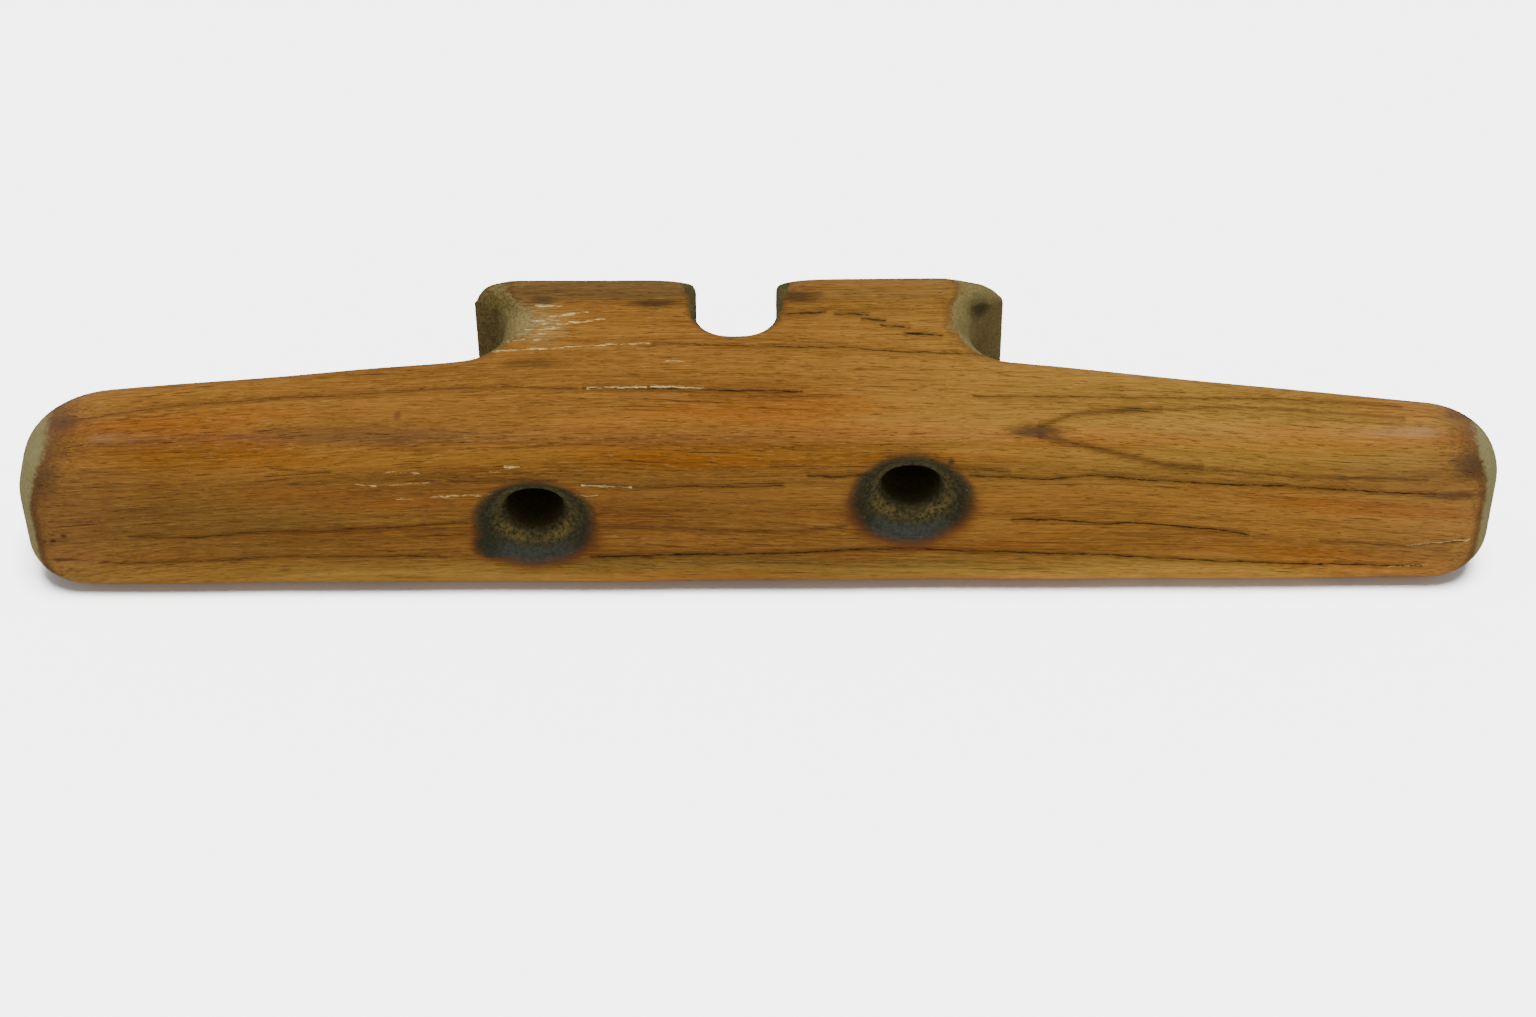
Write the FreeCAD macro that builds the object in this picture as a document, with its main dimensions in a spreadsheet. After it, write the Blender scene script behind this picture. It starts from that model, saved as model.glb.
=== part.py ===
import FreeCAD, Part
"""Horn cleat sawn and rounded from one teak plank: two feet, a gap between them, two long horns.

Frame, in millimetres. The cleat lies on the flat side of its plank.
  X  along the horns,
  Y  from the back of the horns (negative) to the soles of the feet, which are at y = 0,
  Z  up, across the thickness of the plank.
The origin is in the plane of the soles, half way between the axes of the two bolt holes. The
sketches are drawn round the middle of the gap and of the plank, and the body is moved from there.
"""

import math
import os

import Sketcher

OUT = "parts"
NODE = "cleat_body"
CLOSE = 0.01

# Name, size and meaning of each driving dimension, in millimetres or, where it says so, degrees.
DIMENSIONS = [
    ("left_reach", 148.2, "middle of the gap to the tip of the left horn"),
    ("right_reach", 156.8, "middle of the gap to the tip of the right horn"),
    ("height", 51.0, "soles to the back of the horns"),
    ("thickness", 44.5, "thickness of the plank"),
    ("left_depth", 19.4, "back to underside of the left horn, at its tip"),
    ("right_depth", 14.0, "back to underside of the right horn, at its tip"),
    ("left_taper", 6.2, "angle between the left horn's underside and its back, degrees"),
    ("right_taper", 8.0, "angle between the right horn's underside and its back, degrees"),
    ("left_upper_corner", 20.0, "rounding of the left horn's end at the upper side, seen on the back"),
    ("left_lower_corner", 12.0, "rounding of the left horn's end at the lower side"),
    ("right_upper_corner", 16.5, "rounding of the right horn's end at the upper side"),
    ("right_lower_corner", 12.5, "rounding of the right horn's end at the lower side"),
    ("back_edge", 8.0, "rounding round the edge of the back"),
    ("under_edge", 5.5, "rounding of the edges of the horns' undersides, necks and heels"),
    ("cove_radius", 9.0, "hollow between a horn and its foot"),
    ("neck_half", 49.0, "middle of the gap to the narrowest place of a foot"),
    ("neck_rise", 11.5, "sole to the narrowest place of a foot"),
    ("flare_radius", 8.0, "hollow between the neck of a foot and its heel"),
    ("heel_half", 56.6, "middle of the gap to the heel of a foot, where its sole ends"),
    ("heel_corner", 10.0, "rounding of a heel, seen on the sole"),
    ("gap_width", 16.6, "width of the gap between the feet"),
    ("gap_depth", 16.5, "depth of the gap, from the soles"),
    ("gap_corner", 7.0, "rounding in the bottom of the gap"),
    ("gap_edge", 2.5, "rounding of the edges of the gap"),
    ("bevel_rise", 7.0, "how far the bevel along a sole's side runs up the foot"),
    ("bevel_in", 2.0, "how far that bevel narrows the sole on each side"),
    ("sole_edge", 0.6, "rounding of the straight edges of the soles and of the gap's mouth"),
    ("hole_size", 11.6, "diameter of a bolt hole"),
    ("sink_size", 20.0, "diameter of the mouth of a countersink"),
    ("sink_angle", 90.0, "angle of a countersink, degrees"),
    ("left_hole_x", 41.6, "left bolt hole, from the middle of the gap"),
    ("left_hole_z", 1.4, "left bolt hole, above the middle of the plank"),
    ("right_hole_x", 35.9, "right bolt hole, from the middle of the gap"),
    ("right_hole_z", 7.6, "right bolt hole, above the middle of the plank"),
    ("spare", 10.0, "how far a cut runs on past the wood"),
]

SIZE = {name: size for name, size, _ in DIMENSIONS}


def make_sheet(doc):
    """Write the driving dimensions into a spreadsheet, one to a row."""
    sheet = doc.addObject("Spreadsheet::Sheet", "dims")
    for row, (name, size, meaning) in enumerate(DIMENSIONS, start=1):
        sheet.set(f"A{row}", name)
        sheet.set(f"B{row}", str(size))
        sheet.set(f"C{row}", meaning)
        sheet.setAlias(f"B{row}", name)
    doc.recompute()


# Sketches


def make_sketch(body, name, role):
    """An empty sketch on one of the body's origin planes."""
    sketch = body.newObject("Sketcher::SketchObject", name)
    plane = next(f for f in body.Origin.OriginFeatures if f.Role == role)
    sketch.AttachmentSupport = (plane, [""])
    sketch.MapMode = "FlatFace"
    return sketch


def at(x, y):
    """A point in a sketch's own plane."""
    return FreeCAD.Vector(x, y, 0)


def line(sketch, start, end):
    """A straight edge from start to end."""
    return sketch.addGeometry(Part.LineSegment(at(*start), at(*end)), False)


def arc(sketch, centre, radius, first, last):
    """An arc that runs anticlockwise from one angle to another, in degrees."""
    circle = Part.Circle(at(*centre), FreeCAD.Vector(0, 0, 1), radius)
    return sketch.addGeometry(Part.ArcOfCircle(circle, math.radians(first), math.radians(last)), False)


def hold(sketch, *constraints):
    """Add constraints that carry no size."""
    for constraint in constraints:
        sketch.addConstraint(Sketcher.Constraint(*constraint))


def bind(sketch, source, kind, *where):
    """Add a constraint whose last item is its size, and drive that size from the spreadsheet."""
    index = sketch.addConstraint(Sketcher.Constraint(kind, *where))
    sketch.setExpression(f"Constraints[{index}]", source)


def flank_angle(out, rise, radius):
    """How far a foot's flare turns from upright before its flank runs straight on to the heel."""
    slant = math.atan2(out - radius, rise)
    return math.degrees(math.asin(radius / math.hypot(out - radius, rise)) + slant)


def draw_end(sketch, end, side):
    """Half of the outline, from the back round a horn's tip to the heel. side is -1 left, 1 right."""
    back = -SIZE["height"]
    reach, depth, slope = (SIZE[f"{end}_{what}"] for what in ("reach", "depth", "taper"))
    cove, flare = SIZE["cove_radius"], SIZE["flare_radius"]
    neck_x, neck_y, heel_x = SIZE["neck_half"], -SIZE["neck_rise"], SIZE["heel_half"]
    taper = math.radians(slope)
    cove_x = neck_x + cove
    cove_y = back + depth + (reach - cove_x) * math.tan(taper) + cove / math.cos(taper)
    under_x = cove_x - cove * math.sin(taper)
    under_y = cove_y - cove * math.cos(taper)
    lean = flank_angle(heel_x - neck_x, -neck_y, flare)
    turn = math.radians(lean)
    flank = (side * (neck_x + flare * (1 - math.cos(turn))), neck_y + flare * math.sin(turn))

    tip = line(sketch, (side * reach, back), (side * reach, back + depth))
    under = line(sketch, (side * reach, back + depth), (side * under_x, under_y))
    if side > 0:
        hollow = arc(sketch, (cove_x, cove_y), cove, 180, 270 - slope)
        flared = arc(sketch, (neck_x + flare, neck_y), flare, 180 - lean, 180)
    else:
        hollow = arc(sketch, (-cove_x, cove_y), cove, 270 + slope, 360)
        flared = arc(sketch, (-neck_x - flare, neck_y), flare, 0, lean)
    neck = line(sketch, (side * neck_x, cove_y), (side * neck_x, neck_y))
    straight = line(sketch, flank, (side * heel_x, 0))
    # Arcs run anticlockwise, so on the right the end nearer the back is point 2, on the left point 1.
    near, far = (2, 1) if side > 0 else (1, 2)
    hold(
        sketch,
        ("Vertical", tip),
        ("Coincident", tip, 2, under, 1),
        ("Tangent", under, 2, hollow, near),
        ("Tangent", hollow, far, neck, 1),
        ("Vertical", neck),
        ("Tangent", neck, 2, flared, near),
        ("Tangent", flared, far, straight, 1),
        ("PointOnObject", straight, 2, -1),
    )

    def across(*point):
        """The sketch's origin and a point, in the order in which x rises."""
        return (-1, 1, *point) if side > 0 else (*point, -1, 1)

    bind(sketch, f"dims.{end}_reach", "DistanceX", *across(tip, 1), reach)
    bind(sketch, "dims.neck_half", "DistanceX", *across(neck, 2), neck_x)
    bind(sketch, "dims.heel_half", "DistanceX", *across(straight, 2), heel_x)
    bind(sketch, f"dims.{end}_depth", "DistanceY", tip, 1, tip, 2, depth)
    bind(sketch, "dims.neck_rise", "DistanceY", neck, 2, -1, 1, -neck_y)
    bind(sketch, "dims.cove_radius", "Radius", hollow, cove)
    bind(sketch, "dims.flare_radius", "Radius", flared, flare)
    if side > 0:
        bind(sketch, "180 deg - dims.right_taper * 1 deg", "Angle", under, math.pi - taper)
    else:
        bind(sketch, "dims.left_taper * 1 deg", "Angle", under, taper)
    return tip, straight


def draw_outline(body):
    """The outline of the cleat on the flat side of the plank, without the gap."""
    sketch = make_sketch(body, "outline", "XY_Plane")
    left_tip, left_straight = draw_end(sketch, "left", -1)
    right_tip, right_straight = draw_end(sketch, "right", 1)
    back = line(sketch, (-SIZE["left_reach"], -SIZE["height"]), (SIZE["right_reach"], -SIZE["height"]))
    sole = line(sketch, (-SIZE["heel_half"], 0), (SIZE["heel_half"], 0))
    hold(
        sketch,
        ("Coincident", back, 1, left_tip, 1),
        ("Coincident", back, 2, right_tip, 1),
        ("Coincident", sole, 1, left_straight, 2),
        ("Coincident", sole, 2, right_straight, 2),
        ("Horizontal", back),
    )
    bind(sketch, "dims.height", "DistanceY", back, 1, -1, 1, SIZE["height"])
    return sketch


def draw_gap(body):
    """The gap between the feet on the flat side of the plank, open past the soles."""
    sketch = make_sketch(body, "gap_outline", "XY_Plane")
    half, corner = SIZE["gap_width"] / 2, SIZE["gap_corner"]
    floor, mouth = -SIZE["gap_depth"], SIZE["spare"]
    bottom = line(sketch, (-half + corner, floor), (half - corner, floor))
    right_round = arc(sketch, (half - corner, floor + corner), corner, 270, 360)
    right = line(sketch, (half, floor + corner), (half, mouth))
    top = line(sketch, (half, mouth), (-half, mouth))
    left = line(sketch, (-half, mouth), (-half, floor + corner))
    left_round = arc(sketch, (-half + corner, floor + corner), corner, 180, 270)
    hold(
        sketch,
        ("Tangent", bottom, 2, right_round, 1),
        ("Tangent", right_round, 2, right, 1),
        ("Coincident", right, 2, top, 1),
        ("Coincident", top, 2, left, 1),
        ("Tangent", left, 2, left_round, 1),
        ("Tangent", left_round, 2, bottom, 1),
        ("Horizontal", bottom),
        ("Vertical", right),
        ("Vertical", left),
        ("Equal", left_round, right_round),
        ("Symmetric", top, 1, top, 2, -2),
    )
    bind(sketch, "dims.gap_width", "DistanceX", top, 2, top, 1, 2 * half)
    bind(sketch, "dims.gap_depth", "DistanceY", bottom, 1, -1, 1, -floor)
    bind(sketch, "dims.spare", "DistanceY", -1, 1, top, 1, mouth)
    bind(sketch, "dims.gap_corner", "Radius", left_round, corner)
    return sketch


def draw_heels(body):
    """The plan of the soles with rounded corners, inside a frame of waste."""
    sketch = make_sketch(body, "heels_outline", "XZ_Plane")
    x, z, r, far = SIZE["heel_half"], SIZE["thickness"] / 2, SIZE["heel_corner"], SIZE["spare"]
    corners = ((1, 1), (-1, 1), (-1, -1), (1, -1))
    rounds = [
        arc(sketch, (i * (x - r), j * (z - r)), r, 90 * n, 90 * n + 90) for n, (i, j) in enumerate(corners)
    ]
    sides = [
        line(sketch, (x - r, z), (r - x, z)),
        line(sketch, (-x, z - r), (-x, r - z)),
        line(sketch, (r - x, -z), (x - r, -z)),
        line(sketch, (x, r - z), (x, z - r)),
    ]
    frame = [
        line(sketch, (x + far, z + far), (-x - far, z + far)),
        line(sketch, (-x - far, z + far), (-x - far, -z - far)),
        line(sketch, (-x - far, -z - far), (x + far, -z - far)),
        line(sketch, (x + far, -z - far), (x + far, z + far)),
    ]
    for n in range(4):
        after = (n + 1) % 4
        level = "Horizontal" if n % 2 == 0 else "Vertical"
        hold(
            sketch,
            ("Tangent", rounds[n], 2, sides[n], 1),
            ("Tangent", sides[n], 2, rounds[after], 1),
            ("Coincident", frame[n], 2, frame[after], 1),
            (level, sides[n]),
            (level, frame[n]),
        )
    for n in range(1, 4):
        hold(sketch, ("Equal", rounds[0], rounds[n]))
    hold(
        sketch,
        ("Symmetric", frame[0], 1, frame[2], 1, -1, 1),
        ("Symmetric", sides[0], 1, sides[2], 1, -1, 1),
    )
    bind(sketch, "dims.heel_corner", "Radius", rounds[0], r)
    bind(sketch, "dims.heel_half", "DistanceX", -1, 1, sides[3], 1, x)
    bind(sketch, "dims.thickness / 2", "DistanceY", -1, 1, sides[0], 1, z)
    bind(sketch, "dims.heel_half + dims.spare", "DistanceX", -1, 1, frame[0], 1, x + far)
    bind(sketch, "dims.thickness / 2 + dims.spare", "DistanceY", -1, 1, frame[0], 1, z + far)
    return sketch


def draw_bevel(body, name, level):
    """The waste beside the soles, seen along the horns. level is 1 on the upper side, -1 on the lower."""
    sketch = make_sketch(body, name, "YZ_Plane")
    half, rise, inset, far = (SIZE[n] for n in ("thickness", "bevel_rise", "bevel_in", "spare"))
    half /= 2
    fall = inset * (rise + far) / rise
    start = (-rise, level * half)
    deep = (far, level * (half - fall))
    corner = (far, level * half)
    slope = line(sketch, start, deep)
    upright = line(sketch, deep, corner)
    side = line(sketch, corner, start)
    hold(
        sketch,
        ("Coincident", slope, 2, upright, 1),
        ("Coincident", upright, 2, side, 1),
        ("Coincident", side, 2, slope, 1),
        ("Vertical", upright),
        ("Horizontal", side),
    )
    low, high = ((upright, 1), (upright, 2)) if level > 0 else ((upright, 2), (upright, 1))
    from_axis = (-1, 1, side, 1) if level > 0 else (side, 1, -1, 1)
    bind(sketch, "dims.bevel_rise", "DistanceX", slope, 1, -1, 1, rise)
    bind(sketch, "dims.spare", "DistanceX", -1, 1, upright, 1, far)
    bind(sketch, "dims.thickness / 2", "DistanceY", *from_axis, half)
    drop = "dims.bevel_in * (dims.bevel_rise + dims.spare) / dims.bevel_rise"
    bind(sketch, drop, "DistanceY", *low, *high, fall)
    return sketch


def draw_holes(body):
    """The two bolt holes on the back, off the middle of the plank by different amounts."""
    sketch = make_sketch(body, "holes_outline", "XZ_Plane")
    sketch.setExpression("AttachmentOffset.Base.z", "dims.height")
    for end, side in (("left", -1), ("right", 1)):
        x, z = SIZE[f"{end}_hole_x"], SIZE[f"{end}_hole_z"]
        ring = Part.Circle(at(side * x, z), FreeCAD.Vector(0, 0, 1), SIZE["hole_size"] / 2)
        circle = sketch.addGeometry(ring, False)
        across = (-1, 1, circle, 3) if side > 0 else (circle, 3, -1, 1)
        bind(sketch, "dims.hole_size", "Diameter", circle, SIZE["hole_size"])
        bind(sketch, f"dims.{end}_hole_x", "DistanceX", *across, x)
        bind(sketch, f"dims.{end}_hole_z", "DistanceY", -1, 1, circle, 3, z)
    return sketch


# Features


def step(doc, body, kind, name, profile, **sizes):
    """Add a sketch-based feature to the body, with its sizes bound to expressions."""
    doc.recompute()
    added = body.newObject(kind, name)
    added.Profile = profile
    for prop, source in sizes.items():
        added.setExpression(prop, source)
    body.Tip = added
    return added


def through(doc, body, kind, name, profile, length):
    """A pad or pocket that runs as far to each side of its sketch."""
    added = step(doc, body, kind, name, profile, Length=length)
    added.Midplane = True
    doc.recompute()


def soften(doc, body, name, radius, picked):
    """Round every edge of the body that the test picks."""
    before = body.Tip
    edges = [f"Edge{n}" for n, edge in enumerate(before.Shape.Edges, start=1) if picked(edge)]
    fillet = body.newObject("PartDesign::Fillet", name)
    fillet.Base = (before, edges)
    fillet.setExpression("Radius", radius)
    body.Tip = fillet
    doc.recompute()


def middle(edge):
    """The point half way along an edge."""
    return edge.valueAt((edge.FirstParameter + edge.LastParameter) / 2)


def lies_at(edge, axis, *places):
    """True if the whole edge is at one of the places on the axis, 'x', 'y' or 'z'."""
    points = [middle(edge), *(v.Point for v in edge.Vertexes)]
    return any(all(abs(getattr(p, axis) - place) < CLOSE for p in points) for place in places)


def runs_along(edge, axis):
    """True if the edge keeps to one line along the axis."""
    return all(lies_at(edge, other, getattr(middle(edge), other)) for other in "xyz" if other != axis)


def touches(edge, axis, place):
    """True if either end of the edge is at the place on the axis."""
    return any(abs(getattr(v.Point, axis) - place) < CLOSE for v in edge.Vertexes)


def build_body(doc):
    """The cleat: a plank cut to its outline, its edges rounded, then the gap, soles and holes."""
    body = doc.addObject("PartDesign::Body", "body")
    body.Label = NODE
    body.setExpression("Placement.Base.x", "(dims.left_hole_x - dims.right_hole_x) / 2")
    body.setExpression("Placement.Base.z", "-(dims.left_hole_z + dims.right_hole_z) / 2")
    back, half = -SIZE["height"], SIZE["thickness"] / 2
    ends = {"left": -SIZE["left_reach"], "right": SIZE["right_reach"]}

    def is_under(edge):
        """An edge of a horn's underside, a neck or a heel."""
        if touches(edge, "y", back) or lies_at(edge, "y", 0):
            return False
        return lies_at(edge, "x", *ends.values()) or not runs_along(edge, "z")

    def is_gap(edge):
        """An edge of the gap on either flat side."""
        p = middle(edge)
        in_gap = abs(p.x) < SIZE["gap_width"] / 2 + CLOSE and p.y > -SIZE["gap_depth"] - CLOSE
        return in_gap and lies_at(edge, "z", -half, half)

    def is_sole(edge):
        """An edge of the soles, other than the round corners of the heels."""
        in_gap = abs(middle(edge).x) < SIZE["gap_width"]
        return lies_at(edge, "y", 0) and (in_gap or runs_along(edge, "x") or runs_along(edge, "z"))

    through(doc, body, "PartDesign::Pad", "plank", draw_outline(body), "dims.thickness")
    for end, x in ends.items():
        for side, z in (("upper", half), ("lower", -half)):
            corner = f"{end}_{side}_corner"
            soften(doc, body, corner, "dims." + corner, lambda e: lies_at(e, "x", x) and lies_at(e, "z", z))
    soften(doc, body, "undersides", "dims.under_edge", is_under)
    soften(doc, body, "back", "dims.back_edge", lambda e: lies_at(e, "y", back))
    through(doc, body, "PartDesign::Pocket", "gap", draw_gap(body), "dims.thickness + dims.spare")
    soften(doc, body, "gap_edges", "dims.gap_edge", is_gap)
    through(doc, body, "PartDesign::Pocket", "heels", draw_heels(body), "2 * dims.neck_rise")
    for name, level in (("upper", 1), ("lower", -1)):
        bevel = draw_bevel(body, name + "_bevel_outline", level)
        through(doc, body, "PartDesign::Pocket", name + "_bevel", bevel, "2 * dims.right_reach")
    soften(doc, body, "sole_edges", "dims.sole_edge", is_sole)
    holes = step(
        doc,
        body,
        "PartDesign::Hole",
        "holes",
        draw_holes(body),
        Diameter="dims.hole_size",
    )
    holes.DepthType = "ThroughAll"
    holes.HoleCutType = "Countersink"
    holes.HoleCutCustomValues = True
    holes.setExpression("HoleCutDiameter", "dims.sink_size")
    holes.setExpression("HoleCutCountersinkAngle", "dims.sink_angle")
    doc.recompute()
    return body


def main():
    doc = FreeCAD.newDocument("cleat")
    make_sheet(doc)
    body = build_body(doc)
    for made in doc.Objects:
        if {"Invalid", "Error"} & set(made.State):
            raise RuntimeError(f"{made.Name} is {made.State}")
    if body.Shape.isNull() or not body.Shape.isValid() or len(body.Shape.Solids) != 1:
        raise RuntimeError("the cleat isn't one sound solid")
    os.makedirs(OUT, exist_ok=True)
    body.Shape.exportStep(os.path.join(OUT, NODE + ".step"))


main()
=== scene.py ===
"""Looks of a worn teak horn cleat that lies on its flat side on a white table.

The scene is in metres. Sizes named here are in millimetres, unless a comment says otherwise, and
are scaled where they are used.
"""

import math

import bpy
import numpy as np
from mathutils import Matrix, Vector


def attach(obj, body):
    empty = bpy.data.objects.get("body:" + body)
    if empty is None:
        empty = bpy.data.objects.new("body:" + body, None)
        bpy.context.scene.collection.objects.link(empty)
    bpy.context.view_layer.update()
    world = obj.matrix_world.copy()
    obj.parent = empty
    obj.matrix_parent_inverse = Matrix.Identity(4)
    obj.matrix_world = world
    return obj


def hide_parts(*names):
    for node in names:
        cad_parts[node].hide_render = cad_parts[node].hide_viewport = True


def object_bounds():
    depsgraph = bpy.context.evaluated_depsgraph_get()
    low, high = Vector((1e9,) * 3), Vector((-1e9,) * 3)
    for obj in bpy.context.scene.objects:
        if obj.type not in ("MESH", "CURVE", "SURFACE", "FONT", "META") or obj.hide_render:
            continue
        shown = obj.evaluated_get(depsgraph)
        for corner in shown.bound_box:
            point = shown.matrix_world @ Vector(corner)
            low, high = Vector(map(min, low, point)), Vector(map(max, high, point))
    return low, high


MM = 0.001

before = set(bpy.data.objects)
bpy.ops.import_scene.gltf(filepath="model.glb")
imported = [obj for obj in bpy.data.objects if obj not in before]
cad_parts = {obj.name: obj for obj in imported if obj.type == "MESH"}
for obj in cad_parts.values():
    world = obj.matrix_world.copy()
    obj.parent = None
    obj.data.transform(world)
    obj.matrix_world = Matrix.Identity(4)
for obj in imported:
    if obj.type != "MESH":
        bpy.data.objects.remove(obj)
cad_low, cad_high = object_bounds()

# The horns' back (y), the upper side (z) and the middle of the gap between the feet (x).
BACK = round(cad_low.y / MM, 3)
TOP = round(cad_high.z / MM, 3)
MIDDLE_X = 2.85

# The worn mesh: how wide its quads are across the grain, and that width's share of their length.
QUAD = 0.62
QUAD_SHARE = 0.6

# The bolt holes: their axes along Y (x, z), and the radii of their bores and of their iron stains.
HOLES = ((-38.75, -3.1), (38.75, 3.1))
BORE = 5.8
STAIN = 12.0
# The radius round which a countersink's lip is rounded, and how far wear has sunk it.
LIP = 9.5
LIP_SUNK = 0.9

# The feet: the middle of each sole along X, and half its length.
FEET = ((-29.6, 24.2), (35.3, 24.2))
# How far their upper side is crowned in the middle, and how far the crown falls to its ends.
CROWN_RISE = 1.4
CROWN_FALL = 2.0
# How steeply the heels are worn down, and how far the right one leans out past its root.
HEEL_FALL = 0.17
HEEL_LEAN = 1.2

# How far the worn surface swells and dips, and the height of its fine bumps. How deep the cracks are
# open, and over how many of their half widths.
SWELL = 0.10
BUMP_HEIGHT = 0.12
CRACK_DEPTH = 0.34
CRACK_SPREAD = 1.6

# Grain. "Level" is how far a point lies up and back, y + z. The grain bows down towards the horns'
# tips, so the level that it follows has that bow taken out.
BOW_MIDDLE = -10.0
BOW = 0.00042
GRAIN_X = (-150.0, 165.0)
GRAIN_LEVEL = (-90.0, 30.0)

# The side steps that cracks take along the grain: how far, and over what length along X.
WANDER = 0.14
SWAY_LENGTH = 7.1
TWITCH_LENGTH = 2.7
TWITCH_START = 1.3

# Marks show on the horns' back and on the upper side. They begin over these spans of z - y and of z.
BACK_MARKS = (24.0, 30.0)
TOP_MARKS = (9.0, 13.0)

# Cracks, figure and paint are strokes along the grain. A point's distance off a stroke is counted in
# half widths: CORE in its middle, where its colour is full, 1 where none is left, and FAR_OFF at most.
CORE = 0.25
FAR_OFF = 10.0
# The length over which each kind of stroke fades at its ends.
CRACK_FADE = 1.6
FIGURE_FADE = 4.5
PAINT_FADE = 1.5

# Drying cracks: points (x, level) along each one, half its width, and how dark and deep it is.
CRACKS = (
    # along the ridge between the back and the upper side
    (((-134, -24.5), (-116, -20.5), (-83, -17.2), (-46, -15.0), (-28, -15.3)), 0.28, 0.55),
    (((-30, -15.3), (-2.6, -16.0), (18, -16.6)), 0.45, 0.9),
    (((50, -18.0), (81, -18.9), (109, -19.2), (123, -20.3), (140, -21.8)), 0.26, 0.6),
    (((-8, -17.6), (8, -18.2), (26, -18.0)), 0.25, 0.5),
    # low on the back
    (
        ((-29, -65.1), (10, -64.3), (35, -63.0), (61, -64.2), (85, -65.7), (120, -68.4), (147, -69.0)),
        0.36,
        1.0,
    ),
    (((-131, -66.3), (-110, -66.0), (-88, -64.5), (-66, -64.5), (-56, -65.2)), 0.27, 0.65),
    # middle of the back, right of the right hole
    (((58, -54.2), (66, -54.2), (79, -55.8), (85, -55.3), (103, -57.6), (110, -59.6)), 0.34, 0.95),
    (((122, -61.2), (133, -62.1), (142, -62.7), (149, -62.1), (155, -60.8)), 0.22, 0.6),
    (
        ((49, -40.6), (66, -42.2), (74, -41.3), (94, -43.1), (113, -44.6), (129, -46.1), (147, -47.3)),
        0.36,
        1.0,
    ),
    (((46, -38.3), (51, -39.2), (60, -39.8)), 0.25, 0.7),
    # between the holes
    (((-30, -43.0), (-16, -44.2), (-3, -44.0), (14, -43.7)), 0.3, 0.7),
    (((16, -40.4), (23, -41.2), (28, -41.0), (31, -40.3)), 0.32, 0.85),
    (((-28, -55.6), (-16, -56.0), (-7, -57.0), (14, -57.4), (27, -55.9)), 0.3, 0.5),
    # left of the left hole
    (((-124, -57.9), (-109, -58.8), (-99, -57.3), (-80, -56.5), (-59, -55.0), (-51, -54.3)), 0.28, 0.65),
    (((-57, -42.2), (-49, -42.1), (-41, -41.6), (-32, -41.9)), 0.24, 0.55),
    (((-93, -37.6), (-86, -38.7), (-78, -39.2)), 0.22, 0.5),
    # upper side, under the gap and across the right foot
    (((-16, -2.5), (-2, -3.1), (14, -3.5), (26, -4.1), (38, -5.6), (56, -6.0)), 0.27, 0.75),
    # torn grain, stepping down over the right foot
    (((11.5, 6.1), (23, 6.7)), 0.45, 0.95),
    (((22, 6.1), (32, 5.3)), 0.40, 0.9),
    (((27.5, 4.5), (35.5, 3.7)), 0.48, 1.0),
    (((31.5, 2.7), (40.5, 1.5)), 0.45, 0.95),
    (((36.5, 0.3), (47, -0.8)), 0.48, 1.0),
)

# Broad dark figure in the wood, with the same columns. The first four are two lines that part near
# the right horn's root.
FIGURE = (
    (((60, -28.2), (67, -25.6), (71, -23.6), (78, -22.8), (94, -22.0)), 2.6, 0.95),
    (((86, -22.3), (105, -21.8), (119, -22.8), (143, -25.6)), 1.7, 0.75),
    (((60, -28.2), (68, -30.8), (76, -33.2), (83, -35.9), (92, -38.6), (102, -39.8)), 2.8, 1.0),
    (((92, -38.6), (102, -39.8), (119, -42.0), (148, -43.0)), 1.8, 0.8),
    (((-110, -28.0), (-83, -29.0), (-60, -30.5), (-30, -31.5), (-10, -33.0)), 2.2, 0.35),
    (((-52, -8.5), (-40, -7.4), (-28, -7.2), (-8, -8.5)), 1.4, 0.45),
    (((72, -54.6), (90, -57.0), (120, -61.6)), 1.6, 0.4),
)

# Dark patches: x, level, half length along the grain, half width across it, strength.
PATCHES = (
    (63.5, -28.2, 7.5, 2.6, 0.95),
    (-72.0, -28.6, 30.0, 4.2, 0.50),
    (-66.0, -23.0, 1.0, 1.8, 0.6),
    (46.6, -36.9, 0.9, 1.6, 0.9),
    # near the horns' tips
    (152.5, -39.0, 6.0, 5.0, 0.75),
    (150.0, -47.6, 8.5, 1.8, 0.75),
    (151.0, -24.2, 6.5, 2.0, 0.6),
    (-134.5, -24.8, 4.5, 2.6, 0.65),
    (-138.0, -42.0, 4.0, 9.0, 0.4),
    (-136.0, -57.9, 0.9, 0.7, 0.9),
    (-138.5, -59.4, 1.0, 0.6, 0.9),
    (-140.4, -59.7, 0.7, 0.6, 0.8),
    (-137.0, -65.2, 4.0, 0.7, 0.8),
    # on the feet
    (-38.3, -8.2, 9.0, 1.9, 0.5),
    (-14.3, 9.2, 7.0, 1.6, 0.95),
    (-37.7, 10.1, 3.5, 1.8, 0.85),
    (16.0, 11.2, 6.5, 2.4, 0.85),
)

# Dark blotches in the heels' end grain, with the same columns. The left one, in the lower part of the
# left heel's end, is painted shade.
BLOTCHES_AND_SHADE = (
    (54.4, 6.9, 3.4, 3.6, 0.85),
    (-50.5, 3.0, 2.6, 5.0, 0.6),
)

# How far in along X each heel's end grain reaches on the upper side: points (level, x). Then the
# levels that they lie in.
LEFT_HEEL = (
    (-7.5, -53.0),
    (-6.5, -50.7),
    (-2.1, -44.1),
    (0.0, -40.5),
    (3.1, -37.9),
    (8.0, -40.0),
    (13.9, -44.5),
)
RIGHT_HEEL = ((-7.5, 60.0), (-6.2, 57.3), (-2.7, 51.9), (1.7, 47.8), (7.5, 45.7), (13.3, 46.8))
HEEL_LEVEL = (-10.0, 16.0)

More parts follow.
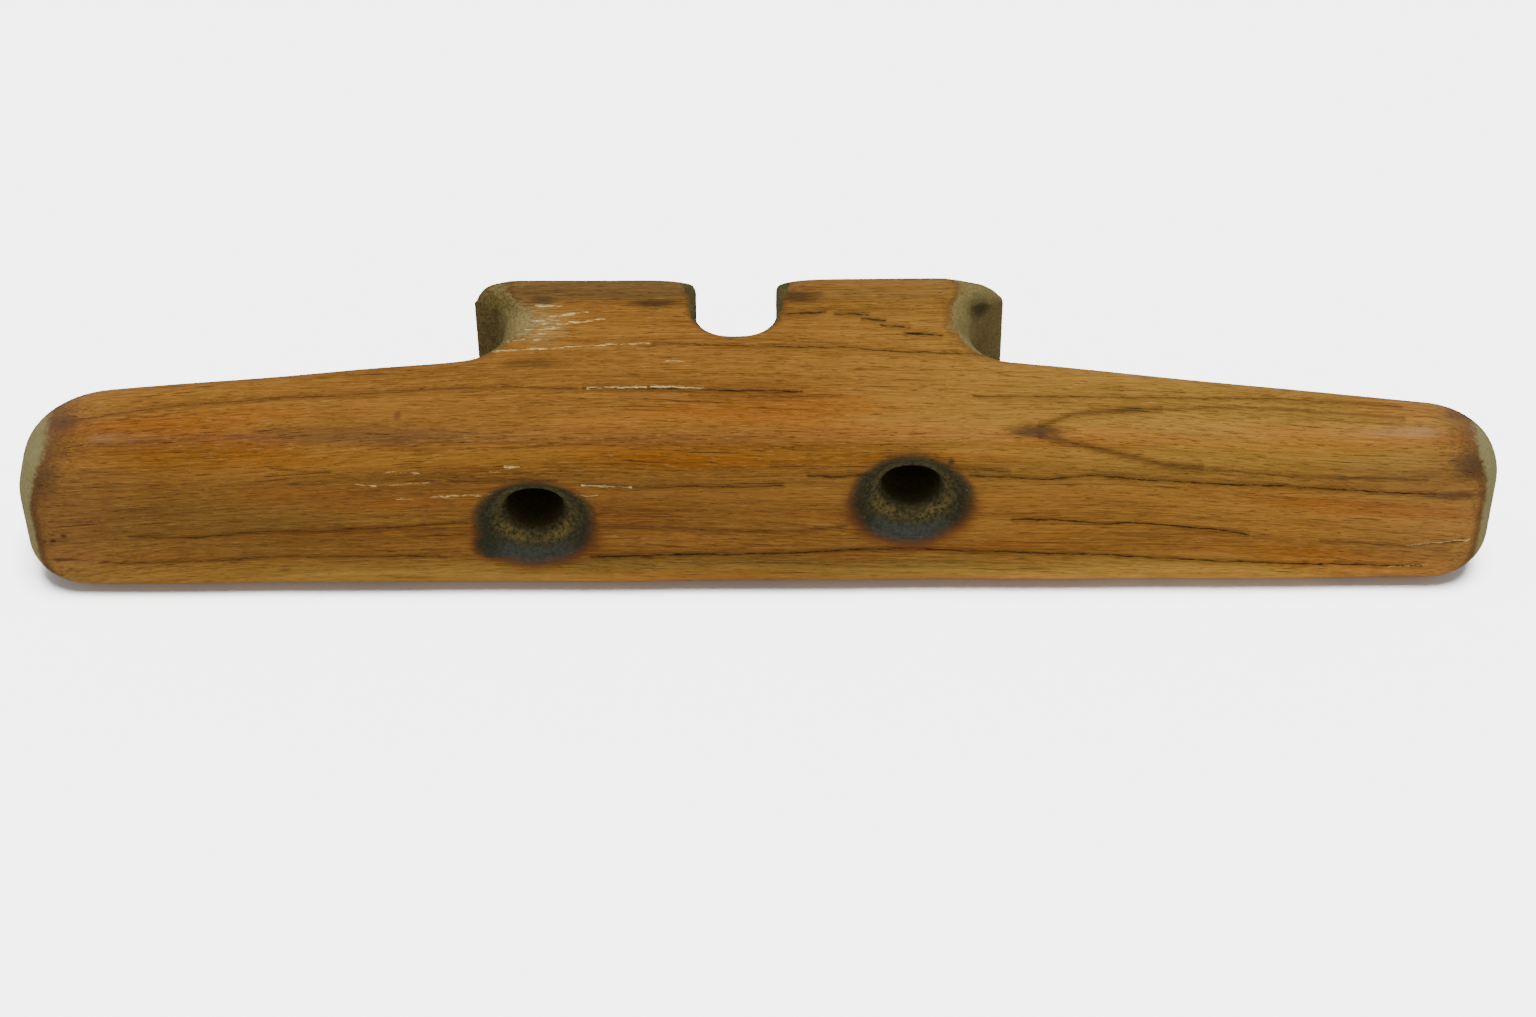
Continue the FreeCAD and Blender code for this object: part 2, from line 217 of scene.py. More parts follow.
# Distances from the gap's middle along X, from none to all: the gap's own end grain, the end grain of
# the horns' tips, and the polish that handling gave the horns.
GAP_SPAN = (30.0, 20.0)
TIP_SPAN = (80.0, 100.0)
POLISH_SPAN = (115.0, 150.0)
# The gap's worn mouth: how far from the middle it ends, and how that shrinks with y towards the back.
MOUTH_SPAN = (12.1, 11.2)
MOUTH_TAPER = -0.28

# Where the wood is redder, and where it is more olive, with the columns of the dark patches. The olive
# band low along the horns' back is painted bounce light from the table.
RED = (
    (-112.0, -31.0, 32.0, 8.0, 0.75),
    (-4.0, -31.5, 48.0, 9.0, 0.8),
    (-22.0, -52.0, 22.0, 7.0, 0.6),
    (149.0, -36.0, 9.0, 12.0, 0.6),
)
OLIVE_AND_BOUNCE = (
    (-98.0, -55.0, 46.0, 12.0, 0.75),
    # painted bounce light from the table, along the bottom of the horns' back
    (0.0, -68.5, 150.0, 5.0, 0.85),
)

# With those columns too: where the left hole's stain reaches further, by its last number, and the
# film of paint on the left foot.
STAIN_LOBE = ((-48.8, -62.4, 4.5, 4.0, 3.0),)
FILM = ((-39.5, 3.6, 8.5, 7.0, 1.0),)

# White paint left in the grain: start (x, level), end (x, level), half the width.
PAINT = (
    ((-48, -4.9), (-31, -3.2), 0.30),
    ((-32, -3.2), (-14, -2.4), 0.34),
    ((-28, -15.4), (-15, -15.2), 0.42),
    ((-15, -15.2), (-3, -15.8), 0.50),
    ((-12, -7.8), (-7.5, -8.1), 0.25),
    ((-18, -4.3), (-14, -4.2), 0.20),
    ((-75, -42.7), (-70, -43.2), 0.42),
    ((-68, -42.9), (-59, -42.6), 0.22),
    ((-69, -39.0), (-61, -39.7), 0.20),
    ((-67, -47.3), (-62, -47.2), 0.22),
    ((-60, -47.0), (-45.5, -45.8), 0.24),
    ((-47.5, -39.2), (-44.5, -39.2), 0.22),
    ((-44.5, -37.9), (-40.5, -38.1), 0.55),
    ((-31.5, -46.3), (-25, -46.4), 0.24),
    ((-29, -43.1), (-18, -44.2), 0.42),
    ((141, -62.7), (155, -60.8), 0.32),
    ((138, -69.3), (147, -68.6), 0.22),
    # streaks that fan out over the left foot
    ((-39.5, 8.9), (-33.0, 9.0), 0.45),
    ((-36.5, 5.8), (-27.5, 7.0), 0.38),
    ((-40.0, 4.2), (-32.0, 4.6), 0.25),
    ((-38.0, 3.2), (-24.0, 4.6), 0.34),
    ((-41.5, 1.6), (-33.5, 2.4), 0.24),
    ((-43.0, 0.2), (-36.0, 0.8), 0.22),
    ((-45.0, -1.8), (-37.0, -1.2), 0.2),
)

# Colours in linear light. A tint multiplies what is under it.
RING_DARK = (0.150, 0.060, 0.0068)
RING_PALE = (0.462, 0.202, 0.0308)
RED_TINT = (0.81, 0.70, 0.56)
# Olive tone, and painted bounce light low along the horns' back.
OLIVE_AND_BOUNCE_TINT = (0.80, 0.96, 1.10)
RUDDY_TINT = (1.0, 0.78, 0.6)
# Painted bounce light: paler and yellower low along the horns' back, as if lit from the white table.
LOW_BOUNCE_TINT = (1.42, 1.60, 1.75)
BLEACHED_TINT = (1.15, 1.36, 1.52)
WARM_TINT = (1.18, 1.03, 0.90)
# Darker and greyer on the soles' bevel: partly worn wood, partly painted shade.
SOLE_WEAR_AND_SHADE_TINT = (0.46, 0.64, 1.25)
PORE = (0.055, 0.026, 0.006)
FLECK = (0.66, 0.38, 0.105)
FIGURE_BROWN = (0.070, 0.028, 0.006)
PATCH_BROWN = (0.052, 0.024, 0.008)
CRACK_SIDES = (0.095, 0.040, 0.008)
CRACK_BLACK = (0.014, 0.008, 0.003)
FILM_CREAM = (0.42, 0.33, 0.13)
PAINT_WHITE = (0.84, 0.67, 0.28)
END_DARK = (0.110, 0.080, 0.020)
END_PALE = (0.250, 0.190, 0.062)
END_BLOT = (0.062, 0.046, 0.013)
END_RIGHT = (0.31, 0.25, 0.097)
# Dark blotches, and painted shade on the left heel's end.
END_BLOTCH_AND_SHADE = (0.045, 0.035, 0.012)
END_TIP = (0.36, 0.315, 0.135)
END_GAP = (0.060, 0.052, 0.020)
END_SHADE = (0.105, 0.046, 0.011)
# Painted highlight along the rounded edge where the heels turn to end grain.
END_RIM_HIGHLIGHT = (0.36, 0.30, 0.13)
HALO_RED = (0.155, 0.034, 0.004)
STAIN_DARK = (0.030, 0.028, 0.011)
STAIN_PALE = (0.125, 0.110, 0.046)
STAIN_EDGE = (0.026, 0.025, 0.014)
# Painted sheen: a bluish-grey reflection on the stained countersinks' lower slopes.
STAIN_SLATE_SHEEN = (0.072, 0.084, 0.078)
STAIN_RAW = (0.28, 0.19, 0.05)
STAIN_SPECK = (0.34, 0.32, 0.19)
# Dark bore walls: iron-stained wood with painted shade down the bores.
BORE_STAIN_AND_SHADE = (0.052, 0.042, 0.012)

# The world's light overhead, at the horizon, and the share of that below it.
SKY_TOP = 0.42
SKY_SIDE = 0.62
SKY_BELOW = 0.15

# The soft light overhead, the table's own sun and the table. Places and sizes are in metres here,
# and the sun's spread is in degrees. The table has one white to be seen and one that lights the wood.
KEY_POWER = 8.6
KEY_SIZE = (1.0, 0.4)
KEY_PLACE = (0.0, -0.09, 1.1)
KEY_TARGET = (0, -0.03, 0)
SUN_POWER = 15.0
SUN_SPREAD = 24
SUN_PLACE = (0.05, -0.12, 1.0)
TABLE_WHITE = (0.9, 0.9, 0.9)
BOUNCE_WHITE = (0.93, 0.93, 0.93)
TABLE_ROUGH = 0.8
TABLE_REACH = 6.0

# Camera: high above the table, nearly straight at the horns' back. Angles are in degrees, and the
# reach is in metres.
CAMERA_RISE = 46.83
CAMERA_TURN = -0.23
CAMERA_ROLL = 0.44
CAMERA_REACH = 0.82
CAMERA_LENS = 92.4
CAMERA_SHIFT = (0.0048, -0.0193)
LOOK_AT = (7.85, -38.0, -4.5)


# Shape


def new_object(name, data):
    """An object in the scene, for a mesh, a light or a camera."""
    obj = bpy.data.objects.new(name, data)
    bpy.context.scene.collection.objects.link(obj)
    return obj


def evaluated_mesh(obj):
    """The mesh of an object with its modifiers applied."""
    graph = bpy.context.evaluated_depsgraph_get()
    return bpy.data.meshes.new_from_object(obj.evaluated_get(graph))


def dense_copy(node, name):
    """An even mesh of a CAD node, with quads that are longer along the grain than across it."""
    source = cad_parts[node]
    obj = new_object(name, source.data.copy())
    obj.data.transform(Matrix.Diagonal((QUAD_SHARE, 1, 1, 1)))
    even = obj.modifiers.new("even", "REMESH")
    even.mode = "VOXEL"
    even.voxel_size = QUAD * MM
    obj.data = evaluated_mesh(obj)
    obj.modifiers.clear()
    obj.data.transform(Matrix.Diagonal((1 / QUAD_SHARE, 1, 1, 1)))
    wrap = obj.modifiers.new("wrap", "SHRINKWRAP")
    wrap.target = source
    wrap.wrap_method = "NEAREST_SURFACEPOINT"
    obj.data = evaluated_mesh(obj)
    obj.modifiers.clear()
    return obj


def ramp(value, start, end):
    """0 before start, 1 after end, smooth between them. start may be the larger."""
    share = np.clip((value - start) / (end - start), 0, 1)
    return share * share * (3 - 2 * share)


def relax(points, edges, weight, rounds):
    """Move each point towards the middle of its neighbours."""
    first, second = edges[:, 0], edges[:, 1]
    count = np.bincount(edges.ravel(), minlength=len(points))[:, None]
    for _ in range(rounds):
        total = np.empty_like(points)
        for axis in range(3):
            total[:, axis] = np.bincount(first, points[second, axis], len(points))
            total[:, axis] += np.bincount(second, points[first, axis], len(points))
        points = points + weight[:, None] * (total / count - points)
    return points


def read_points(mesh):
    """A mesh's points in millimetres."""
    flat = np.empty(len(mesh.vertices) * 3)
    mesh.vertices.foreach_get("co", flat)
    return flat.reshape(-1, 3) / MM


def write_points(mesh, points):
    """Move a mesh's points to places in millimetres."""
    mesh.vertices.foreach_set("co", (points * MM).ravel())
    mesh.update()


def read_normals(mesh):
    """Which way each of a mesh's points faces."""
    flat = np.empty(len(mesh.vertices) * 3)
    mesh.vertex_normals.foreach_get("vector", flat)
    return flat.reshape(-1, 3)


def hole_distance(points):
    """How far each point is from the nearer bolt axis."""
    return np.min([np.hypot(points[:, 0] - x, points[:, 2] - z) for x, z in HOLES], axis=0)


def wander(x):
    """The small side steps that every crack takes along the grain."""
    twitch = 0.5 * WANDER * np.sin(x / TWITCH_LENGTH + TWITCH_START)
    return WANDER * np.sin(x / SWAY_LENGTH) + twitch


def crack_depth(points):
    """How deep the drying cracks are at each point, from 0 to 1."""
    x = points[:, 0]
    level = points[:, 1] + points[:, 2] + wander(x)
    deepest = np.zeros(len(points))
    for path, half, strength in CRACKS:
        along, levels = zip(*path)
        ends = ramp(x, along[0], along[0] + 4) * ramp(x, along[-1], along[-1] - 4)
        across = np.abs(level - np.interp(x, along, levels))
        groove = np.exp(-((across / (CRACK_SPREAD * half)) ** 2))
        deepest = np.maximum(deepest, strength * ends * groove)
    outer = np.maximum(ramp(points[:, 2] - points[:, 1], *BACK_MARKS), ramp(points[:, 2], *TOP_MARKS))
    return deepest * outer


def past_heel_line(x, level):
    """How far a point lies past the line where its foot's end grain begins, along X."""
    past = np.zeros(len(x))
    for side, line in ((-1, LEFT_HEEL), (1, RIGHT_HEEL)):
        levels, starts = zip(*line)
        beyond = side * (x - np.interp(level, levels, starts))
        past = np.maximum(past, np.where((side * x > 0) & (beyond > 0), beyond, 0.0))
    return past


def shape_feet(points):
    """Crown the upper side of the feet, wear their heels down, and lean the right one out."""
    x, y, z = points.T
    near_sole = ramp(y, -10, -1.5)
    on_foot = ramp(y, -26, -19)
    top = ramp(z, 8, 15)
    for middle, half in FEET:
        off = np.clip((x - middle) / half, -1, 1)
        crown = np.where(np.abs(x - middle) < half + 3, CROWN_RISE - CROWN_FALL * off**6, 0.0)
        z = z + crown * near_sole * top
    past = past_heel_line(x, y + z)
    z = z - HEEL_FALL * past * on_foot * top
    x = x + HEEL_LEAN * ramp(x, 53, 59) * ramp(y, -15, -7)
    return np.column_stack((x, y, np.minimum(z, TOP - 0.05)))


def wear(obj):
    """Round what use has rounded, sink the countersinks, and open the cracks."""
    mesh = obj.data
    flat = np.empty(len(mesh.edges) * 2, int)
    mesh.edges.foreach_get("vertices", flat)
    edges = flat.reshape(-1, 2)
    points = read_points(mesh)
    r = hole_distance(points)
    near_back = ramp(points[:, 1], BACK + 9, BACK + 6)

    points = relax(points, edges, np.full(len(points), 0.5), 4)
    lip = ramp(np.abs(r - LIP), 5.5, 3.5) * near_back
    points = relax(points, edges, 0.5 * lip, 25)
    points[:, 1] += LIP_SUNK * ramp(r, STAIN + 1.2, 8.5) * ramp(points[:, 1], BACK + 3.5, BACK + 1.0)

    points = shape_feet(points)
    write_points(mesh, points)
    normals = read_normals(mesh)
    x, y, z = points.T
    swell = np.sin(x / 17 + z / 23) * np.sin(y / 15 + 0.7) + 0.6 * np.sin(x / 7.3 + y / 9 + z / 11)
    dent = SWELL * (swell - 1.6) - CRACK_DEPTH * crack_depth(points)
    write_points(mesh, points + dent[:, None] * normals)
    for polygon in mesh.polygons:
        polygon.use_smooth = True


# Material


class Nodes:
    """Short names for the shader nodes that the wood is made from. A value is a socket or a number."""

    def __init__(self, tree):
        self.tree = tree

    def add(self, kind, **settings):
        """A new node with some of its settings."""
        node = self.tree.nodes.new("ShaderNode" + kind)
        for name, value in settings.items():
            setattr(node, name, value)
        return node

    def join(self, socket, value):
        """Link a socket to a value, or set it."""
        if isinstance(value, bpy.types.NodeSocket):
            self.tree.links.new(value, socket)
        else:
            socket.default_value = value

    def math(self, operation, *values, clamp=False):
        """A sum on values."""
        node = self.add("Math", operation=operation, use_clamp=clamp)
        for socket, value in zip(node.inputs, values):
            self.join(socket, value)
        return node.outputs[0]

    def vector(self, x, y, z):
        """Three values as one vector."""
        node = self.add("CombineXYZ")
        for socket, value in zip(node.inputs, (x, y, z)):
            self.join(socket, value)
        return node.outputs[0]

    def noise(self, vector, detail=2.0, rough=0.5):
        """Noise of about one lump to a unit of the vector, from 0 to 1."""
        node = self.add("TexNoise", noise_dimensions="3D")
        self.join(node.inputs["Vector"], vector)
        node.inputs["Scale"].default_value = 1.0
        node.inputs["Detail"].default_value = detail
        node.inputs["Roughness"].default_value = rough
        return node.outputs[0]

    def step(self, value, start, end, low=0.0, high=1.0):
        """low before start, high after end, smooth between them."""
        node = self.add("MapRange", interpolation_type="SMOOTHSTEP")
        if start > end:
            start, end, low, high = end, start, high, low
        for name, number in (("From Min", start), ("From Max", end), ("To Min", low), ("To Max", high)):
            self.join(node.inputs[name], number)
        self.join(node.inputs["Value"], value)
        return node.outputs[0]

    def mix(self, share, base, top, blend="MIX"):
        """Colour base with top over it, as far as share says."""
        node = self.add("Mix", data_type="RGBA", blend_type=blend)
        self.join(node.inputs[0], share)
        for socket, colour in ((node.inputs[6], base), (node.inputs[7], top)):
            self.join(socket, colour if isinstance(colour, bpy.types.NodeSocket) else (*colour, 1.0))
        return node.outputs[2]

    def tint(self, share, base, colour):
        """Colour base multiplied by another, as far as share says."""
        return self.mix(share, base, colour, blend="MULTIPLY")

    def curve(self, value, points):
        """Straight runs through points whose both coordinates are from 0 to 1."""
        node = self.add("FloatCurve")
        track = node.mapping.curves[0]
        points = [(0.0, points[0][1]), *points, (1.0, points[-1][1])]
        for _ in range(len(points) - 2):
            track.points.new(0.5, 0.5)
        for spot, place in zip(track.points, points):
            spot.location = place
            spot.handle_type = "VECTOR"
        node.mapping.update()
        self.join(node.inputs["Value"], value)
        return node.outputs[0]

    def most(self, values):
        """The largest of several values."""
        largest = values[0]
        for value in values[1:]:
            largest = self.math("MAXIMUM", largest, value)
        return largest

    def times(self, *values):
        """The product of several values."""
        product = values[0]
        for value in values[1:]:
            product = self.math("MULTIPLY", product, value)
        return product

    def length(self, across, up):
        """How long an arrow with these two parts is."""
        squares = self.math("ADD", self.times(across, across), self.times(up, up))
        return self.math("SQRT", squares)

    def share(self, value, span, clamp=False):
        """Where a value lies in a span, from 0 to 1."""
        past = self.math("SUBTRACT", value, span[0])
        return self.math("DIVIDE", past, span[1] - span[0], clamp=clamp)

    def spread(self, share, span):
        """The value at a share of a span."""
        return self.math("MULTIPLY_ADD", share, span[1] - span[0], span[0])


def share_of(value, span):
    """Where a number lies in a span, from 0 to 1."""
    return (value - span[0]) / (span[1] - span[0])


class Grain:
    """Where a point of the wood is: along and across the grain, and which way its surface faces."""

    def __init__(self, n):
        self.n = n
        place = n.add("TexCoord")
        in_mm = n.add("VectorMath", operation="SCALE")
        n.join(in_mm.inputs[0], place.outputs["Object"])
        in_mm.inputs["Scale"].default_value = 1 / MM
        parts = n.add("SeparateXYZ")
        n.join(parts.inputs[0], in_mm.outputs[0])
        self.x, self.y, self.z = parts.outputs
        facing = n.add("SeparateXYZ")
        n.join(facing.inputs[0], place.outputs["Normal"])
        self.end = n.math("ABSOLUTE", facing.outputs[0])
        self.back = n.math("ABSOLUTE", facing.outputs[1])
        self.level = n.math("ADD", self.y, self.z)
        self.across = n.math("SUBTRACT", self.z, self.y)
        off = n.math("POWER", n.math("SUBTRACT", self.x, BOW_MIDDLE), 2)
        self.follow = n.math("MULTIPLY_ADD", off, BOW, self.level)
        drift = n.noise(self.stretched(0.014, 0.05, 0.02), detail=1.0)
        self.follow = n.math("MULTIPLY_ADD", drift, 7.0, self.follow)
        self.share_x = n.share(self.x, GRAIN_X)
        self.outer = n.math("MAXIMUM", n.step(self.across, *BACK_MARKS), n.step(self.z, *TOP_MARKS))
        ragged = n.noise(self.stretched(0.35, 0.8, 0.8), detail=3.0, rough=0.6)
        self.jag = n.math("SUBTRACT", ragged, 0.5)
        sway = n.math("MULTIPLY", n.math("SINE", n.math("DIVIDE", self.x, SWAY_LENGTH)), WANDER)
        twitch = n.math("SINE", n.math("MULTIPLY_ADD", self.x, 1 / TWITCH_LENGTH, TWITCH_START))
        twitch = n.math("MULTIPLY", twitch, 0.5 * WANDER)
        self.swayed = n.math("ADD", self.level, n.math("ADD", sway, twitch))

    def stretched(self, along, ring, ray):
        """A vector for noise, in lumps to the mm along the grain, across the rings and round them."""
        return self.scaled((self.x, self.follow, self.across), (along, ring, ray))

    def even(self, rate):
        """A vector for noise that is the same all ways, in lumps to the mm."""
        return self.scaled((self.x, self.y, self.z), (rate, rate, rate))

    def scaled(self, values, rates):
        """A vector of values, each times its rate."""
        parts = [self.n.math("MULTIPLY", value, rate) for value, rate in zip(values, rates)]
        return self.n.vector(*parts)

    def jagged(self, value, amount):
        """A value made ragged along the grain, by up to about half the amount."""
        return self.n.math("MULTIPLY_ADD", self.jag, amount, value)

    def off_middle(self):
        """How far a point is from the gap's middle, along X."""
        return self.n.math("ABSOLUTE", self.n.math("SUBTRACT", self.x, MIDDLE_X))


def stroke_group():
    """A node group: how many half widths a point is off a line of the level, and more past its ends."""
    tree = bpy.data.node_groups.new("stroke", "ShaderNodeTree")
    for name in ("level", "line", "half", "x", "start", "end", "fade", "weakness"):
        tree.interface.new_socket(name, in_out="INPUT", socket_type="NodeSocketFloat")
    tree.interface.new_socket("off", in_out="OUTPUT", socket_type="NodeSocketFloat")
    n = Nodes(tree)
    inputs = tree.nodes.new("NodeGroupInput").outputs
    across = n.math("ABSOLUTE", n.math("SUBTRACT", inputs["level"], inputs["line"]))
    before = n.math("SUBTRACT", inputs["start"], inputs["x"])
    after = n.math("SUBTRACT", inputs["x"], inputs["end"])
    beyond = n.math("DIVIDE", n.math("MAXIMUM", before, after), inputs["fade"])
    past = n.step(beyond, -1.0, 0.0, 0.0, FAR_OFF - 1)
    off = n.math("ADD", n.math("DIVIDE", across, inputs["half"]), inputs["weakness"])
    output = tree.nodes.new("NodeGroupOutput")
    tree.links.new(n.math("ADD", off, past), output.inputs[0])
    return tree


class Strokes:
    """Marks along the grain. nearest is how many half widths a point is off the nearest one."""

    def __init__(self, n, group, g, level):
        self.n, self.group, self.x, self.level = n, group, g.x, level
        self.nearest = FAR_OFF

    def add(self, line, half, start, end, fade, strength=1.0):
        """One mark, along a line of the level and from start to end along X."""
        node = self.n.add("Group")
        node.node_tree = self.group
        weakness = CORE + (1 - CORE) * (1 - strength)
        values = (self.level, line, half, self.x, start, end, fade, weakness)
        for socket, value in zip(node.inputs, values):
            self.n.join(socket, value)
        self.nearest = self.n.math("MINIMUM", self.nearest, node.outputs[0])


def lines(n, group, g, level, rows, fade):
    """How far off the nearest of several cracks or figure lines is."""
    strokes = Strokes(n, group, g, level)
    for path, half, strength in rows:
        spots = [(share_of(x, GRAIN_X), share_of(at, GRAIN_LEVEL)) for x, at in path]
        line = n.spread(n.curve(g.share_x, spots), GRAIN_LEVEL)
        strokes.add(line, half, float(path[0][0]), float(path[-1][0]), fade, strength)
    return strokes.nearest


def paint_lines(n, group, g, level):
    """How far off the nearest white paint in the grain is. Each line runs on by 1 mm to fade out."""
    strokes = Strokes(n, group, g, level)
    for (x0, level0), (x1, level1), half in PAINT:
        slope = (level1 - level0) / (x1 - x0)
        line = n.math("MULTIPLY_ADD", g.x, slope, level0 - slope * x0)
        strokes.add(line, half, x0 - 1.0, x1 + 1.0, PAINT_FADE)
    return strokes.nearest


def patches(n, g, rows):
    """The mask of soft-edged patches."""
    masks = []
    for x, level, length, width, strength in rows:
        along = n.math("DIVIDE", n.math("SUBTRACT", g.x, x), length)
        across = n.math("DIVIDE", n.math("SUBTRACT", g.level, level), width)
        off = g.jagged(n.length(along, across), 0.9)
        masks.append(n.step(off, 1.15, 0.25, 0.0, strength))
    return n.times(n.most(masks), g.outer)


def rings(n, g):
    """Rings and streaks along the grain. Gives the colour, and the noises that the surface follows."""
    bands = n.noise(g.stretched(0.005, 0.16, 0.012), detail=2.5, rough=0.55)
    streaks = n.noise(g.stretched(0.020, 1.25, 0.12), detail=3.0, rough=0.6)
    fibres = n.noise(g.stretched(0.20, 2.6, 2.0), detail=2.0, rough=0.65)
    clouds = n.noise(g.stretched(0.016, 0.06, 0.05), detail=2.0)
    threads = n.noise(g.stretched(0.055, 3.6, 1.2), detail=1.0)
    tone = n.math("ADD", n.math("MULTIPLY", bands, 0.55), n.math("MULTIPLY", streaks, 0.40))
    for noise, weight in ((fibres, 0.80), (threads, 0.50), (clouds, 0.40)):
        tone = n.math("MULTIPLY_ADD", noise, weight, tone)
    return n.mix(n.step(tone, 0.86, 1.80), RING_DARK, RING_PALE), streaks, fibres


def regions(n, g, wood):
    """Where the wood is redder, more olive, paler or warmer than elsewhere, with painted bounce light
    from the table low along the horns' back.
    """
    wood = n.tint(patches(n, g, RED), wood, RED_TINT)
    # Olive tone, and painted bounce light low along the horns' back.
    wood = n.tint(patches(n, g, OLIVE_AND_BOUNCE), wood, OLIVE_AND_BOUNCE_TINT)
    hue = n.noise(g.stretched(0.013, 0.10, 0.03), detail=1.0)
    ruddy = n.times(n.step(hue, 0.52, 0.70, 0.0, 0.8), n.step(g.level, -6.0, -14.0))
    wood = n.tint(ruddy, wood, RUDDY_TINT)
    # Painted bounce light from the table, low along the horns' back.
    wood = n.tint(n.step(g.level, -64.0, -71.0), wood, LOW_BOUNCE_TINT)
    wood = n.tint(n.step(g.x, 0.0, 95.0), wood, BLEACHED_TINT)
    warm = n.times(n.step(g.x, 30.0, 70.0), n.step(g.level, -38.0, -48.0))
    return n.tint(warm, wood, WARM_TINT)


def pores(n, g, wood):
    """Dark pores and pale flecks. Gives the colour, and the pores' mask."""
    vessels = n.noise(g.stretched(0.30, 3.0, 2.6), detail=2.0, rough=0.6)
    pore = n.step(vessels, 0.61, 0.70)
    wood = n.mix(n.math("MULTIPLY", pore, 0.55), wood, PORE)
    flecks = n.noise(g.stretched(0.34, 3.2, 2.8), detail=2.0, rough=0.6)
    fleck = n.step(flecks, 0.60, 0.70)
    return n.mix(n.math("MULTIPLY", fleck, 0.34), wood, FLECK), pore


def sole_band(n, g, wood):
    """The worn bevel along the soles' sides and the raw soles, darker and duller than the rest: partly
    the wood's own dull colour, partly painted shade where the bevel turns away from the light.
    """
    band = n.step(g.jagged(g.y, 2.5), -9.0, -5.8, 0.0, 0.75)
    band = n.times(band, n.step(g.end, 0.5, 0.3), n.step(g.x, 0.0, 10.0, 1.0, 0.45))
    # Partly painted shade where the bevel turns away from the light.
    return n.tint(band, wood, SOLE_WEAR_AND_SHADE_TINT)


def dark_marks(n, g, group, wood, fibres):
    """Dark figure, patches, drying cracks and hairline checks. Gives the colour, and the cracks."""
    figure = lines(n, group, g, g.jagged(g.level, 2.0), FIGURE, FIGURE_FADE)
    figure = n.times(n.step(figure, 1.0, CORE), g.outer, n.step(fibres, 0.25, 0.62, 0.25, 1.0))
    wood = n.mix(n.math("MULTIPLY", figure, 0.80), wood, FIGURE_BROWN)
    wood = n.mix(n.math("MULTIPLY", patches(n, g, PATCHES), 0.85), wood, PATCH_BROWN)
    breaks = n.noise(g.stretched(0.14, 0.3, 0.3), detail=2.0)
    crumbs = n.noise(g.stretched(0.55, 1.2, 1.2), detail=2.0)
    off = lines(n, group, g, g.jagged(g.swayed, 1.2), CRACKS, CRACK_FADE)
    wood = n.mix(n.times(n.step(off, 5.0, 0.5), g.outer, 0.42), wood, CRACK_SIDES)
    open_run = n.step(breaks, 0.32, 0.50, 0.30, 1.0)
    crack = n.times(n.step(off, 1.0, CORE), g.outer, open_run, n.step(crumbs, 0.34, 0.52, 0.35, 1.0))
    checks = n.noise(g.stretched(0.040, 1.9, 0.6), detail=2.0)
    seam = n.math("MAXIMUM", crack, n.step(checks, 0.675, 0.73, 0.0, 0.6))
    return n.mix(n.math("MULTIPLY", seam, 0.95), wood, CRACK_BLACK), seam


def end_grain(n, g, wood):
    """Grey-green end grain on the heels, the gap's walls and the horns' tips, with a painted highlight
    along the heels' rounded edge and painted shade in the lower part of the left heel's end.

    Gives the colour, the fuzz of the end grain's surface, and where it is.
    """
    fuzz = n.noise(g.even(1.5), detail=4.0, rough=0.7)
    blots = n.noise(g.even(0.16), detail=2.0)
    off = g.off_middle()
    on_tip = n.step(off, *TIP_SPAN)
    on_gap = n.step(off, *GAP_SPAN)
    grey = n.mix(n.step(fuzz, 0.34, 0.68), END_DARK, END_PALE)
    grey = n.mix(n.step(blots, 0.46, 0.66, 0.0, 0.75), grey, END_BLOT)
    grey = n.mix(n.step(g.x, 20.0, 40.0, 0.0, 0.5), grey, END_RIGHT)
    # Dark blotches, and painted shade in the lower part of the left heel's end.
    grey = n.mix(patches(n, g, BLOTCHES_AND_SHADE), grey, END_BLOTCH_AND_SHADE)
    grey = n.mix(n.times(on_tip, n.step(fuzz, 0.2, 0.7, 0.6, 0.95)), grey, END_TIP)
    grey = n.mix(n.math("MULTIPLY", on_gap, 0.55), grey, END_GAP)

    turned = g.jagged(g.end, 0.30)
    turned = n.math("MAXIMUM", turned, heel_turn(n, g, blots))
    rough_end = g.jagged(g.end, 0.25)
    wall = g.jagged(g.back, 0.16)
    tip = n.times(n.step(wall, 0.95, 0.78), n.step(rough_end, 0.56, 0.70))
    tip_shade = n.times(n.step(wall, 0.99, 0.86), n.step(g.jagged(g.end, 0.7), 0.14, 0.56))
    heel_share = n.math("SUBTRACT", 1.0, on_tip)
    ends = n.math("ADD", n.times(heel_share, n.step(turned, 0.36, 0.50)), n.times(on_tip, tip))
    shade = n.times(heel_share, n.step(turned, 0.06, 0.36, 0.0, 0.55))
    shade = n.math("MULTIPLY_ADD", n.times(on_tip, tip_shade), 0.6, shade)
    wood = n.mix(shade, wood, END_SHADE)
    wood = n.mix(ends, wood, grey)
    # Painted highlight along the heels' rounded edge, where it turns to end grain.
    rim_highlight = n.times(n.step(turned, 0.26, 0.38), n.step(turned, 0.60, 0.46), n.step(fuzz, 0.36, 0.62))
    on_heel = n.math("SUBTRACT", 1.0, n.math("MAXIMUM", on_tip, on_gap))
    wood = n.mix(n.times(rim_highlight, on_heel, 0.30), wood, END_RIM_HIGHLIGHT)
    return wood, n.math("MULTIPLY", fuzz, ends), ends


